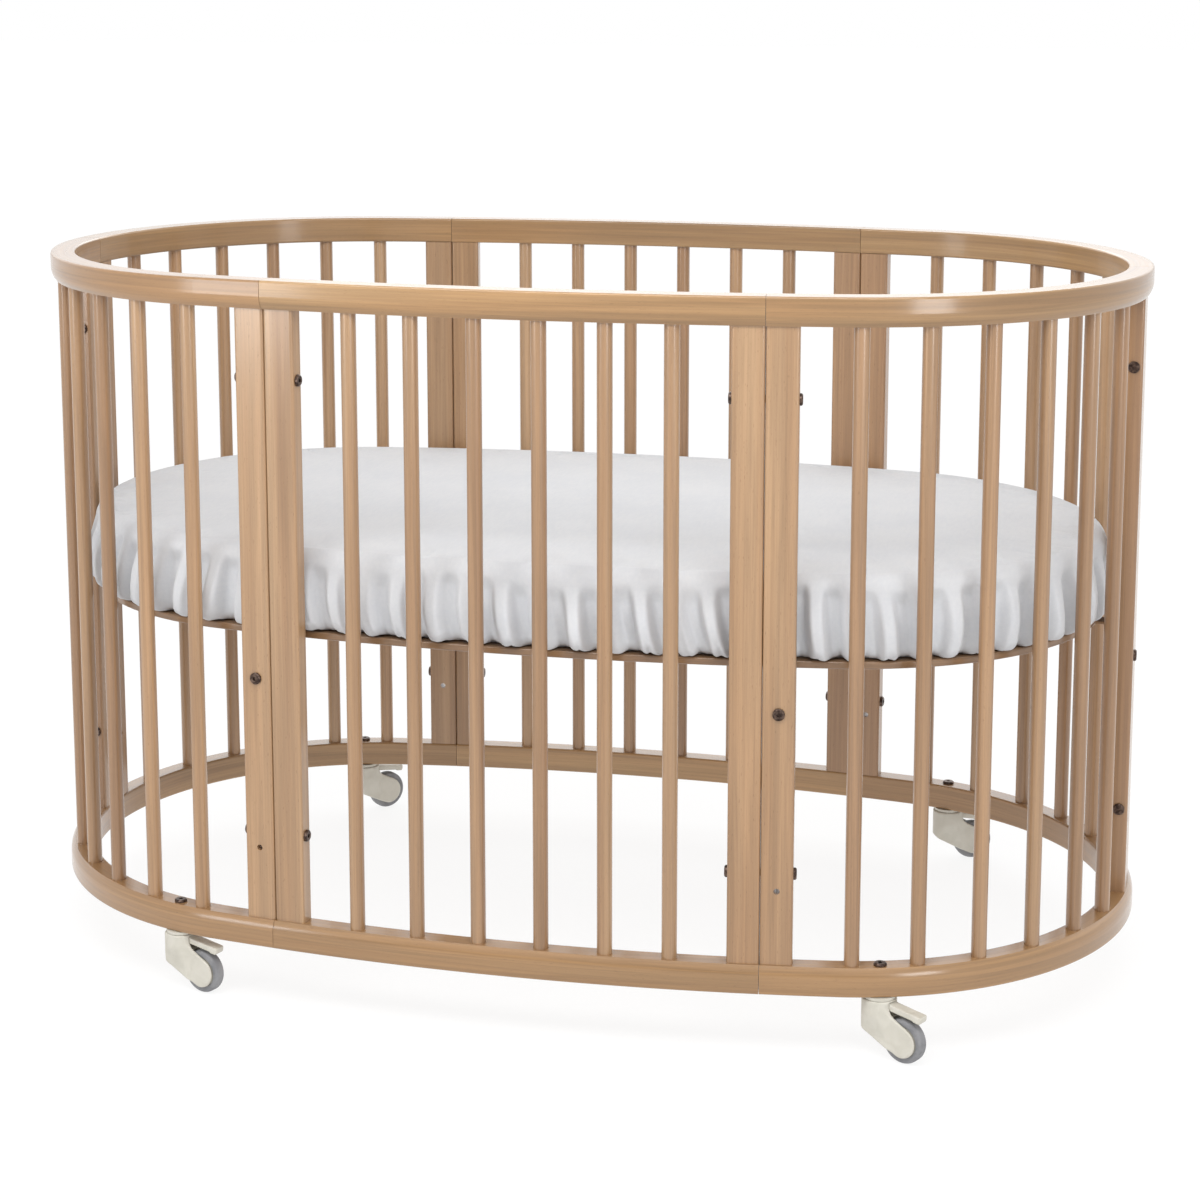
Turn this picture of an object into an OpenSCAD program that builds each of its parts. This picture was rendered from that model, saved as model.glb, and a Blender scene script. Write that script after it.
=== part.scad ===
// Oval baby crib in beech: six bolted sections of rails, slats and posts around an
// oval base, a mattress that lifts out, and four swivel casters with brakes.
// Millimetres. Z is up, X runs along the crib and the origin is on the floor at its centre.

/* [Overall] */
// Length over the end rails
crib_length = 1280; // [1260:5:1300]
// Width over the side rails
crib_width = 740; // [730:5:750]
// Floor to the underside of the bottom rail
caster_height = 68; // [66:1:72]
// Floor to the top of the top rail
crib_height = 808; // [790:1:830]

/* [Rails] */
// Outer radius of the round ends
end_radius = 346; // [342:1:350]
// Half the length between the seams of a side section
seam_x = 271; // [268:1:274]
// Height of a rail
rail_height = 31; // [30:1:34]
// Thickness of a rail, from its outer to its inner face
rail_depth = 28; // [27:1:30]
// Radius of the outer face where it rolls in towards the slats
rail_roll = 22; // [20:1:26]
// Gap left between two sections
seam_gap = 0.5; // [0.4:0.1:1]

/* [Posts and slats] */
// Width of a post
post_width = 34.5; // [33:0.5:38]
// Thickness of a post
post_depth = 20; // [19:1:21]
// How far a post's outer face lies inside the rail's outer face
post_setback = 7; // [7:1:8]
// Diameter of a slat
slat_diameter = 16.5; // [16:0.5:19]
// Slats in each section
slats_per_section = 6; // [5:1:6]

/* [Fasteners] */
// Height of the lower row of connector bolts
low_bolt_z = 197; // [190:1:210]
// Height of the upper row of connector bolts
high_bolt_z = 701; // [690:1:710]
// Diameter of every bolt head
head_diameter = 13; // [12:0.5:14]
// Height of the bolts that hold the base
base_bolt_z = 372; // [366:1:376]
// Height of the free holes for the lowered base
low_base_hole_z = 180; // [170:1:184]
// Diameter of the free holes
low_base_hole = 6.6; // [6:0.2:7]

/* [Base and mattress] */
// Height of the underside of the base rim
base_z = 411; // [408:1:413]
// Thickness of the base rim
base_thickness = 8; // [8:1:10]
// Gap from the rails' outer face to the rim's outer edge
base_inset = 46; // [45:1:48]
// Width of one board of the base
board_width = 60; // [50:5:70]
// Boards in the base
board_count = 12; // [10:1:12]
// Gap from the rails' outer face to the mattress
mattress_inset = 43; // [42:1:46]
// Thickness of the mattress
mattress_height = 90; // [80:1:100]
// Thickness of the fitted sheet
sheet_thickness = 1.8; // [1.5:0.1:2]
// How far the sheet's hem stays above the base
sheet_hem = 8; // [6:1:12]

/* [Casters] */
// Distance of a caster from the crib's centre, along the crib
caster_x = 394; // [385:1:400]
// Trail: swivel axis to wheel axle
caster_trail = 32; // [30:1:34]
// Direction in which the front left wheel trails, clockwise from the X axis
front_left_heading = 18; // [0:1:90]
// Direction in which the front right wheel trails, clockwise from the X axis
front_right_heading = 25; // [0:1:90]
// Direction in which the rear left wheel trails, clockwise from the X axis
rear_left_heading = -48; // [-90:1:90]
// Direction in which the rear right wheel trails, clockwise from the X axis
rear_right_heading = -20; // [-90:1:90]
// Radius of a wheel over its tyre
wheel_radius = 24; // [23:0.5:24]
// Width of the tyre
tyre_width = 13; // [12:0.5:13]
// Radius of the caster's round body
drum_radius = 18.5; // [17.5:0.5:19]

/* [Hidden] */
$fn = 64;
PLACES = ["front_left", "front_right", "rear_left", "rear_right"];

// Plan of the crib: a four-centre oval, with ends of end_radius about (+-end_cx, 0)
// and long bowed sides of side_radius about (0, +-side_cy).
end_cx = crib_length / 2 - end_radius;
side_radius = (pow(crib_width / 2, 2) + pow(end_cx, 2) - pow(end_radius, 2))
    / (crib_width - 2 * end_radius);
side_cy = side_radius - crib_width / 2;
joint_angle = atan2(side_cy, end_cx);
seam_angle = asin(seam_x / side_radius);
side_part_angle = 90 - joint_angle - seam_angle;

// Where two arcs of one piece meet, the flatter one runs on inside the other, a skin thinner
splice_length = 2;
splice_skin = 0.05;
arc_facets = 720;
rail_edge = 2.5;

// Heights
top_rail_z = crib_height - rail_height;
post_z = caster_height + rail_height;
post_length = top_rail_z - post_z;
mattress_z = base_z + base_thickness + 0.2;
mattress_top = mattress_z + mattress_height;

// Joinery: tenons on slats and posts, and the sockets that take them
glue_gap = 0.1;
tenon_depth = 14;
slat_tenon = 12;
post_tenon = [24, 10];
slat_inset = 15;
post_inset = post_setback + post_depth / 2;
post_round = 3;
running_gap = 0.05;
touch_gap = 0.3;

// Fasteners
head_height = 3.2;
head_chamfer = 1.2;
hex_socket = 5;
socket_depth = 2;
connector_shank = 6;
connector_sleeve = 8;
connector_thread = 18;
sleeve_thread = 10;
base_shank = 6;
caster_shank = 8;
caster_head = 14;
bracket_width = 22;
bracket_thickness = 2.5;
bracket_reach = 38;
bracket_foot = 9;
rim_screw_reach = 28;
rim_screw_spread = 6;
rim_screw = 4;
rim_screw_bite = 5;
base_bolt_end = 6;

// Board bed in the rim
rim_width = 29;
ledge_width = 11;
ledge_thickness = 3;
board_pitch = 88;

// Caster, measured from the floor and from its own swivel axis
collar_thickness = 3;
collar_radius = 17;
drum_top = caster_height - collar_thickness - 0.5;
drum_corner = 31;
drum_waist = 48;
drum_foot = 26;
cheek_radius = 17;
cheek_thickness = 3.1;
cheek_start = 50;
wheel_gap = 0.6;
wheel_clearance = 2;
fork_width = tyre_width + 2 * (wheel_gap + cheek_thickness);
hub_radius = 17.5;
hub_wall = 2.5;
hub_web = 4;
tyre_corner = 3.5;
axle_diameter = 6;
pin_length = fork_width - 2;
pin_end_gap = 0.1;
lever_pin_diameter = 3;
lever_pin = [14, drum_top - 6.4];
lever_slope = 8;
lever_length = 41;
lever_width = 14;
lever_thickness = 7;
lever_boss = 4.2;
lever_lip = [6, 1.2];
lever_slot = [9, drum_top - 18.5, 17];
bolt_reach = 22;
caster_ring = end_radius - rail_depth / 2;
caster_y = sqrt(pow(caster_ring, 2) - pow(caster_x - end_cx, 2));

wood = [0.77, 0.62, 0.46];
wood_dark = [0.70, 0.55, 0.40];
steel_dark = [0.22, 0.18, 0.16];
bronze = [0.45, 0.35, 0.25];
cream = [0.86, 0.84, 0.78];
grey = [0.50, 0.50, 0.52];
steel = [0.72, 0.72, 0.72];

function arc_length(radius, angle) = radius * angle * PI / 180;
function arc_angle(radius, length) = length / radius * 180 / PI;

// A point of the front-right quarter, s along its slat line from the seam: [x, y, turn]
quarter_side_length = arc_length(side_radius - slat_inset, side_part_angle);
quarter_length = quarter_side_length + arc_length(end_radius - slat_inset, joint_angle);
side_length = arc_length(side_radius - slat_inset, 2 * seam_angle);
function side_point(turn, inset) = [
    (side_radius - inset) * sin(turn),
    side_cy - (side_radius - inset) * cos(turn),
    turn
];
function end_point(turn, inset) = [
    end_cx + (end_radius - inset) * sin(turn),
    -(end_radius - inset) * cos(turn),
    turn
];
function quarter_point(s) = s < quarter_side_length
    ? side_point(seam_angle + arc_angle(side_radius - slat_inset, s), slat_inset)
    : end_point(90 - joint_angle
        + arc_angle(end_radius - slat_inset, s - quarter_side_length), slat_inset);
function slat_gap(length) =
    (length - 2 * post_width - slats_per_section * slat_diameter) / (slats_per_section + 1);
function slat_s(length, k) = post_width + slat_diameter / 2
    + slat_gap(length) + k * (slat_gap(length) + slat_diameter);
function side_slats() = [
    for (k = [0 : slats_per_section - 1])
        side_point(arc_angle(side_radius - slat_inset,
            slat_s(side_length, k) - side_length / 2), slat_inset)
];
function quarter_slats() = [
    for (k = [0 : slats_per_section - 1]) quarter_point(slat_s(quarter_length, k))
];

// Half width of the oval at x, inset from the rails' outer face
function oval_join_x(inset) = end_cx + (end_radius - inset) * cos(joint_angle);
function oval_y(x, inset) = abs(x) < oval_join_x(inset)
    ? sqrt(pow(side_radius - inset, 2) - pow(x, 2)) - side_cy
    : sqrt(max(0, pow(end_radius - inset, 2) - pow(abs(x) - end_cx, 2)));

// Outline of the inset oval, with its corners on the arcs
function oval_quarter(inset) = concat(
    [for (a = [0 : 1 : 8]) side_point(a * (90 - joint_angle) / 9, inset)],
    [for (a = [0 : 1 : 20]) end_point(90 - joint_angle + a * joint_angle / 20, inset)]
);
function flipped(points) = [for (i = [len(points) - 1 : -1 : 0]) points[i]];
function oval_outline(inset) =
    let (q = [for (p = oval_quarter(inset)) [p[0], p[1]]], n = len(q) - 1)
    concat(
        q,
        [for (i = [n - 1 : -1 : 0]) [q[i][0], -q[i][1]]],
        [for (i = [1 : n]) [-q[i][0], -q[i][1]]],
        [for (i = [n - 1 : -1 : 1]) [-q[i][0], q[i][1]]]
    );

// Puts a part of the front or front-right section in another section
module in_section(place) {
    if (place == "front" || place == "front_right") children();
    if (place == "rear" || place == "rear_left") rotate([0, 0, 180]) children();
    if (place == "front_left") mirror([1, 0, 0]) children();
    if (place == "rear_right") mirror([0, 1, 0]) children();
}

// Puts a part on the oval: +Y then points inwards and +X along the crib's outline
module at_point(p) {
    translate([p[0], p[1], 0]) rotate([0, 0, p[2]]) children();
}

module rounded_square(size, radius) {
    translate([radius, 0]) square([size[0] - 2 * radius, size[1]]);
    translate([0, radius]) square([size[0], size[1] - 2 * radius]);
    for (x = [radius, size[0] - radius])
        for (y = [radius, size[1] - radius])
            translate([x, y]) circle(radius);
}

// Section of the top rail, with its outer face at x = rail_depth, less a skin all round
module rail_profile(skin) {
    roll_start = rail_roll - 8;
    intersection() {
        translate([skin, skin])
            rounded_square([rail_depth - 2 * skin, rail_height - 2 * skin], rail_edge);
        union() {
            translate([0, roll_start]) square([rail_depth, rail_height - roll_start]);
            translate([rail_depth - rail_roll, roll_start]) circle(rail_roll - skin);
        }
    }
}

// Arc of rail about the Z axis, from one turn to another, measured from -Y
module rail_arc(radius, from, to, skin = 0) {
    rotate([0, 0, from - 90])
        rotate_extrude(angle = to - from, $fn = arc_facets)
            translate([radius - rail_depth, 0]) rail_profile(skin);
}

module side_rail_blank() {
    half = seam_angle - arc_angle(side_radius, seam_gap / 2);
    translate([0, side_cy, 0]) rail_arc(side_radius, -half, half);
}

module quarter_rail_blank() {
    start = seam_angle + arc_angle(side_radius, seam_gap / 2);
    stop = 90 - arc_angle(end_radius, seam_gap / 2);
    splice = 90 - joint_angle + arc_angle(side_radius, splice_length);
    translate([0, side_cy, 0]) rail_arc(side_radius, start, splice, splice_skin);
    translate([end_cx, 0, 0]) rail_arc(end_radius, 90 - joint_angle, stop);
}

// Blind sockets in the underside of a rail for the slats and posts
module rail_sockets(slats, posts) {
    for (p = slats)
        at_point(p) translate([0, 0, -1])
            cylinder(h = tenon_depth + 1.5, d = slat_tenon + 2 * glue_gap);
    for (p = posts)
        at_point(p) translate([0, 0, -1])
            linear_extrude(tenon_depth + 1.5)
                square([post_tenon[0] + 2 * glue_gap, post_tenon[1] + 2 * glue_gap],
                    center = true);
}

module side_rail() {
    difference() {
        side_rail_blank();
        rail_sockets(side_slats(), [side_post_left(), side_post_right()]);
    }
}

module quarter_rail() {
    difference() {
        quarter_rail_blank();
        rail_sockets(quarter_slats(), [quarter_side_post(), quarter_end_post()]);
    }
}

// The bottom rail is the top rail turned over
module upside_down() {
    translate([0, 0, caster_height + rail_height]) mirror([0, 0, 1]) children();
}

module quarter_bottom_rail() {
    difference() {
        upside_down() quarter_rail();
        translate([caster_x, -caster_y, caster_height - 1])
            cylinder(h = rail_height + 2, d = caster_shank + 0.6);
    }
}

// Post axes: each post stands against its own side of the seam
post_shift = post_width / 2 + seam_gap / 2;
function seam_point(centre, turn, shift) = [
    centre[0] + shift * cos(turn), centre[1] + shift * sin(turn), turn
];
function side_post_right() =
    seam_point(side_point(seam_angle, post_inset), seam_angle, -post_shift);
function side_post_left() =
    seam_point(side_point(-seam_angle, post_inset), -seam_angle, post_shift);
function quarter_side_post() =
    seam_point(side_point(seam_angle, post_inset), seam_angle, post_shift);
function quarter_end_post() = seam_point(end_point(90, post_inset), 90, -post_shift);

module slat() {
    translate([0, 0, post_z]) cylinder(h = post_length, d = slat_diameter);
    translate([0, 0, post_z - tenon_depth])
        cylinder(h = post_length + 2 * tenon_depth, d = slat_tenon);
}

module slats(points) {
    for (p = points) at_point(p) slat();
}

module post_blank() {
    translate([-post_width / 2, -post_depth / 2, post_z])
        linear_extrude(post_length) rounded_square([post_width, post_depth], post_round);
    translate([0, 0, post_z - tenon_depth])
        linear_extrude(post_length + 2 * tenon_depth) square(post_tenon, center = true);
}

// Hole along the post's width for the sleeve of a connector
module connector_holes() {
    for (z = [low_bolt_z, high_bolt_z])
        translate([-post_width, 0, z]) rotate([0, 90, 0])
            cylinder(h = 2 * post_width, d = connector_sleeve + 0.4);
}

module plain_post() {
    difference() {
        post_blank();
        connector_holes();
    }
}

// Post that also carries the base, with the free hole for its lowered place
module base_post() {
    difference() {
        plain_post();
        translate([0, post_depth, base_bolt_z]) rotate([90, 0, 0])
            cylinder(h = 2 * post_depth, d = base_shank + 0.6);
        translate([0, post_depth, low_base_hole_z]) rotate([90, 0, 0])
            cylinder(h = 2 * post_depth, d = low_base_hole);
    }
}

// Round head with a hexagon socket: its seat is at z = 0 and it faces +Z
module bolt_head(diameter) {
    difference() {
        union() {
            cylinder(h = head_height - head_chamfer, d = diameter);
            translate([0, 0, head_height - head_chamfer])
                cylinder(h = head_chamfer, d1 = diameter, d2 = diameter - 2 * head_chamfer);
        }
        translate([0, 0, head_height - socket_depth])
            cylinder(h = socket_depth + 1, d = hex_socket, $fn = 6);
    }
}

// Screw of one connector, along X through both posts of a seam
module connector_bolt() {
    reach = post_width + seam_gap / 2;
    translate([reach, 0, 0]) rotate([0, 90, 0]) bolt_head(head_diameter);
    translate([-connector_thread, 0, 0]) rotate([0, 90, 0])
        cylinder(h = connector_thread + reach, d = connector_shank);
}

// Sleeve nut of one connector, from the other side of the seam
module connector_nut() {
    reach = post_width + seam_gap / 2;
    difference() {
        union() {
            translate([-reach, 0, 0]) rotate([0, -90, 0]) bolt_head(head_diameter);
            translate([-reach, 0, 0]) rotate([0, 90, 0])
                cylinder(h = reach + sleeve_thread, d = connector_sleeve);
        }
        translate([-connector_thread - 2, 0, 0]) rotate([0, 90, 0])
            cylinder(h = 2 * connector_thread, d = connector_shank + 2 * running_gap);
    }
}

// The six seams, as [x, y, turn] on the posts' centre line
function seams() = [
    for (side = [0, 180]) for (turn = [-seam_angle, seam_angle])
        let (p = side_point(turn, post_inset), k = side == 0 ? 1 : -1)
            [k * p[0], k * p[1], side + turn],
    for (side = [0, 180])
        let (p = end_point(90, post_inset), k = side == 0 ? 1 : -1)
            [k * p[0], k * p[1], side + 90]
];

module at_connectors() {
    for (p = seams())
        at_point(p)
            for (z = [low_bolt_z, high_bolt_z]) translate([0, 0, z]) children();
}

// The six posts that carry the base
module at_base_posts() {
    for (place = PLACES) in_section(place) at_point(quarter_side_post()) children();
    for (place = ["front_right", "rear_left"])
        in_section(place) at_point(quarter_end_post()) children();
}

// Section of the rim, with its outer edge at x = 0 and the boards' ledge inside
module rim_profile(skin) {
    translate([skin, skin]) rounded_square([rim_width - 2 * skin, base_thickness - 2 * skin], 2);
    translate([rim_width / 2, skin])
        square([rim_width / 2 + ledge_width - skin, ledge_thickness - 2 * skin]);
}

// Arc of the rim about the Z axis, centred on -Y
module rim_arc(radius, half, skin) {
    rotate([0, 0, -90 - half])
        rotate_extrude(angle = 2 * half, $fn = arc_facets)
            translate([radius - base_inset, 0]) mirror([1, 0]) rim_profile(skin);
}

module base_rim() {
    splice = arc_angle(side_radius, splice_length);
    color(wood)
        difference() {
            translate([0, 0, base_z])
                for (side = [0, 180]) rotate([0, 0, side]) {
                    translate([0, side_cy, 0])
                        rim_arc(side_radius, 90 - joint_angle + splice, splice_skin);
                    translate([end_cx, 0, 0]) rotate([0, 0, 90]) rim_arc(end_radius, joint_angle, 0);
                }
            at_base_posts() at_rim_screws() translate([0, 0, -1])
                cylinder(h = rim_screw_bite + 2, d = rim_screw + 2 * running_gap);
        }
}

module base_boards() {
    color(wood_dark)
        intersection() {
            translate([0, 0, base_z + ledge_thickness])
                linear_extrude(base_thickness - ledge_thickness)
                    polygon(oval_outline(base_inset + rim_width + touch_gap));
            for (i = [0 : board_count - 1])
                translate([(i - (board_count - 1) / 2) * board_pitch - board_width / 2,
                    -crib_width / 2, base_z + ledge_thickness - 1])
                    cube([board_width, crib_width, base_thickness]);
        }
}

// The two screws that hold a bracket under the rim, from the rim's underside
module at_rim_screws() {
    for (x = [-rim_screw_spread, rim_screw_spread])
        translate([x, post_depth / 2 + rim_screw_reach, base_z]) children();
}

module base_bracket() {
    plate_y = post_depth / 2;
    drop = base_z - base_bolt_z + bracket_foot;
    difference() {
        union() {
            translate([-bracket_width / 2, plate_y, base_z - drop])
                cube([bracket_width, bracket_thickness, drop]);
            translate([-bracket_width / 2, plate_y, base_z - bracket_thickness])
                cube([bracket_width, bracket_reach, bracket_thickness]);
        }
        translate([0, plate_y - 1, base_bolt_z]) rotate([-90, 0, 0])
            cylinder(h = bracket_thickness + 2, d = base_shank + 2 * running_gap);
        at_rim_screws() translate([0, 0, -bracket_thickness - 1])
            cylinder(h = bracket_thickness + 2, d = rim_screw + 0.4);
    }
}

module base_brackets() {
    color(bronze) at_base_posts() base_bracket();
}

module base_fastener_set() {
    translate([0, -post_depth / 2, base_bolt_z]) rotate([90, 0, 0]) bolt_head(head_diameter);
    translate([0, -post_depth / 2, base_bolt_z]) rotate([-90, 0, 0])
        cylinder(h = post_depth + bracket_thickness + base_bolt_end, d = base_shank);
    at_rim_screws() translate([0, 0, -bracket_thickness - 2]) {
        cylinder(h = 2, d = 2 * rim_screw);
        cylinder(h = bracket_thickness + 2 + rim_screw_bite, d = rim_screw);
    }
}

module base_fasteners() {
    color(steel_dark) at_base_posts() base_fastener_set();
}

module mattress() {
    color("white")
        translate([0, 0, mattress_z])
            linear_extrude(mattress_height) polygon(oval_outline(mattress_inset));
}

module fitted_sheet() {
    color([0.95, 0.95, 0.96])
        difference() {
            translate([0, 0, mattress_z + sheet_hem])
                linear_extrude(mattress_height - sheet_hem + sheet_thickness)
                    polygon(oval_outline(mattress_inset - sheet_thickness));
            translate([0, 0, mattress_z])
                linear_extrude(mattress_height) polygon(oval_outline(mattress_inset));
        }
}

// Puts a caster part in one corner: its wheel trails along local +X
module at_caster(place) {
    x = (place == "front_left" || place == "rear_left") ? -caster_x : caster_x;
    y = (place == "front_left" || place == "front_right") ? -caster_y : caster_y;
    front = x < 0 ? front_left_heading : front_right_heading;
    rear = x < 0 ? rear_left_heading : rear_right_heading;
    translate([x, y, 0]) rotate([0, 0, y < 0 ? -front : -rear]) children();
}

module caster_bolts() {
    color(steel_dark)
        for (place = PLACES) at_caster(place) {
            translate([0, 0, post_z]) bolt_head(caster_head);
            translate([0, 0, drum_top - bolt_reach])
                cylinder(h = post_z - drum_top + bolt_reach, d = caster_shank);
        }
}

module caster_collars() {
    color(cream)
        for (place = PLACES) at_caster(place)
            translate([0, 0, caster_height - collar_thickness])
                difference() {
                    cylinder(h = collar_thickness, r = collar_radius);
                    translate([0, 0, -1])
                        cylinder(h = collar_thickness + 2, d = caster_shank + 0.4);
                }
}

// Point where a line from p touches a circle, on its left or right side
function touch_point(p, centre, radius, side) =
    let (
        d = centre - p,
        turn = atan2(d[1], d[0]) + side * asin(radius / norm(d)),
        reach = sqrt(d * d - radius * radius)
    )
        p + reach * [cos(turn), sin(turn)];

// Side view of the housing: x is the trail, y is the height
module housing_side() {
    axle = [caster_trail, wheel_radius];
    low = [-drum_radius, drum_corner];
    high = [drum_radius, cheek_start];
    polygon([
        [-drum_radius, drum_top], [drum_radius, drum_top], high,
        touch_point(high, axle, cheek_radius, 1), axle,
        touch_point(low, axle, cheek_radius, -1), low
    ]);
    translate(axle) circle(cheek_radius);
}

// Extrudes a side view across the caster, to a width centred on it
module across(width) {
    translate([0, width / 2, 0]) rotate([90, 0, 0]) linear_extrude(width) children();
}

// End view of the round body: full width above its waist, as narrow as the fork below its foot
module drum_end() {
    side = [
        [drum_radius, drum_top], [drum_radius, drum_waist],
        [fork_width / 2, drum_foot], [fork_width / 2, 0]
    ];
    polygon(concat(side, [for (p = flipped(side)) [-p[0], p[1]]]));
}

module caster_body() {
    intersection() {
        cylinder(h = drum_top, r = drum_radius);
        across(2 * drum_radius + 2) housing_side();
        translate([-drum_radius - 1, 0, 0]) rotate([90, 0, 90])
            linear_extrude(2 * drum_radius + 2) drum_end();
    }
    intersection() {
        across(fork_width) housing_side();
        translate([0, -fork_width, 0]) cube([caster_trail + wheel_radius, 2 * fork_width, drum_top]);
    }
}

module caster_housing() {
    slot = tyre_width + 2 * wheel_gap;
    bore = pin_length + 2 * pin_end_gap;
    difference() {
        caster_body();
        across(slot) translate([caster_trail, wheel_radius]) circle(wheel_radius + wheel_clearance);
        across(slot) translate([lever_slot[0], lever_slot[1]]) square([2 * drum_radius, lever_slot[2]]);
        across(bore) translate([caster_trail, wheel_radius])
            circle(d = axle_diameter + 2 * running_gap);
        across(bore) translate(lever_pin) circle(d = lever_pin_diameter + 2 * running_gap);
        translate([0, 0, drum_top - bolt_reach - 1])
            cylinder(h = bolt_reach + 2, d = caster_shank + 2 * running_gap);
    }
}

// Axle and lever pin, both closed in by the housing
module caster_pins() {
    across(pin_length) translate([caster_trail, wheel_radius]) circle(d = axle_diameter);
    across(pin_length) translate(lever_pin) circle(d = lever_pin_diameter);
}

// Foot lever over the wheel, sloping down to its tip
module brake_lever() {
    tip = lever_length - lever_thickness / 2;
    difference() {
        across(lever_width) {
            translate(lever_pin) rotate(-lever_slope) {
                translate([0, -lever_thickness / 2]) square([tip, lever_thickness]);
                translate([tip, 0]) circle(d = lever_thickness);
                translate([tip - lever_lip[0], -lever_thickness / 2 - lever_lip[1]])
                    square([lever_lip[0], 2 * lever_lip[1]]);
                circle(lever_boss);
            }
        }
        across(2 * lever_width) translate(lever_pin)
            circle(d = lever_pin_diameter + 2 * running_gap);
    }
}

// Turns a section drawn with x as the radius and y as the width about the axle
module on_axle() {
    translate([caster_trail, 0, wheel_radius]) rotate([90, 0, 0]) rotate_extrude() children();
}

module wheel_hub() {
    bore = axle_diameter / 2 + running_gap;
    on_axle() {
        translate([bore, -tyre_width / 2]) square([hub_wall, tyre_width]);
        translate([bore, -hub_web / 2]) square([hub_radius - bore, hub_web]);
        translate([hub_radius - hub_wall, -tyre_width / 2 + 0.5])
            square([hub_wall, tyre_width - 1]);
    }
}

module tyre() {
    on_axle()
        intersection() {
            translate([hub_radius, -tyre_width / 2])
                square([wheel_radius - hub_radius, tyre_width]);
            translate([hub_radius - 2 * tyre_corner, -tyre_width / 2])
                rounded_square([wheel_radius - hub_radius + 2 * tyre_corner, tyre_width], tyre_corner);
        }
}

module rail_node(place, top) {
    color(wood)
        in_section(place) {
            side = place == "front" || place == "rear";
            if (top) translate([0, 0, top_rail_z]) {
                if (side) side_rail();
                else quarter_rail();
            }
            else {
                if (side) upside_down() side_rail();
                else quarter_bottom_rail();
            }
        }
}

for (place = ["front", "rear", "front_left", "front_right", "rear_left", "rear_right"]) {
    rail_node(place, true);
    rail_node(place, false);
}
for (place = ["front", "rear"]) {
    color(wood) in_section(place) slats(side_slats());
    color(wood_dark) in_section(place) at_point(side_post_left()) plain_post();
    color(wood_dark) in_section(place) at_point(side_post_right()) plain_post();
}
for (place = PLACES) {
    color(wood) in_section(place) slats(quarter_slats());
    color(wood_dark) in_section(place) at_point(quarter_side_post()) base_post();
    color(wood_dark) in_section(place) at_point(quarter_end_post()) {
            if (place == "front_right" || place == "rear_left") base_post();
            else plain_post();
        }
    color(cream) at_caster(place) caster_housing();
    color(steel) at_caster(place) caster_pins();
    color(cream) at_caster(place) brake_lever();
    color(cream) at_caster(place) wheel_hub();
    color(grey) at_caster(place) tyre();
}
color(steel_dark) at_connectors() connector_bolt();  // connector_bolts
color(steel_dark) at_connectors() connector_nut();  // connector_nuts
base_rim();
base_boards();
base_brackets();
base_fasteners();
mattress();
fitted_sheet();
caster_bolts();
caster_collars();
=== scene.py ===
"""Looks of an oval beech baby crib: wood, a fitted sheet on its mattress, and braked casters.

Everything is in metres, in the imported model's frame: Z is up, X runs along the crib and the
front is towards -Y. The CAD nodes stay where they are. The mattress, its sheet, and the casters'
housings and brake levers are new pieces that replace their nodes.
"""

import math

import bmesh
import bpy
import numpy as np
from mathutils import Matrix, Vector, noise


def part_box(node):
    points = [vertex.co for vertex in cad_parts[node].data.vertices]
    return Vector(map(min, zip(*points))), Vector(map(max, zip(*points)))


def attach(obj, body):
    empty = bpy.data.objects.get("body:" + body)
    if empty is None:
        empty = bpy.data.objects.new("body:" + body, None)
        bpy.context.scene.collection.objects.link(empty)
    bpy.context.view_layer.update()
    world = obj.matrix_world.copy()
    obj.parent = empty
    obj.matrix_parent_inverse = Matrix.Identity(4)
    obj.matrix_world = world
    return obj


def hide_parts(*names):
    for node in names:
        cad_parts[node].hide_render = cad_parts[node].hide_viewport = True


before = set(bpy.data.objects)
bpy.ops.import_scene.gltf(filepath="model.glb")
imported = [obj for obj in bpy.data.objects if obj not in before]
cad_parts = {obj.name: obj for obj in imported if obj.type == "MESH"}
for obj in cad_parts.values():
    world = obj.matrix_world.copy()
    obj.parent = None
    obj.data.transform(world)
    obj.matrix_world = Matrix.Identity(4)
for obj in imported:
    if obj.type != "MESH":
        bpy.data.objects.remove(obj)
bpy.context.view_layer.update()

PLACES = ("front_left", "front_right", "rear_left", "rear_right")

# Plan of the crib: round ends of END_RADIUS and bowed sides, a four-centre oval
END_RADIUS = 0.346
HALF_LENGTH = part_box("front_right_top_rail")[1].x
HALF_WIDTH = -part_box("front_top_rail")[0].y
END_X = HALF_LENGTH - END_RADIUS
SIDE_RADIUS = (HALF_WIDTH**2 + END_X**2 - END_RADIUS**2) / (2 * (HALF_WIDTH - END_RADIUS))
SIDE_Y = SIDE_RADIUS - HALF_WIDTH
JOIN_TURN = math.atan2(END_X, SIDE_Y)

# Casters under the middle of the rail, and the way that each one trails, in degrees
RAIL_MIDDLE = 0.014
CASTER_X = 0.394
CASTER_Y = math.sqrt((END_RADIUS - RAIL_MIDDLE)**2 - (CASTER_X - END_X)**2)
HEADINGS = {"front_left": 18, "front_right": 25, "rear_left": -48, "rear_right": -20}

# Inside a caster, as (x, z) in millimetres from its swivel axis, with the wheel trailing along +X
AXLE = (32.0, 24.0)
LEVER_PIN = (14.0, 58.1)


# ---------------------------------------------------------------- node trees


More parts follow.
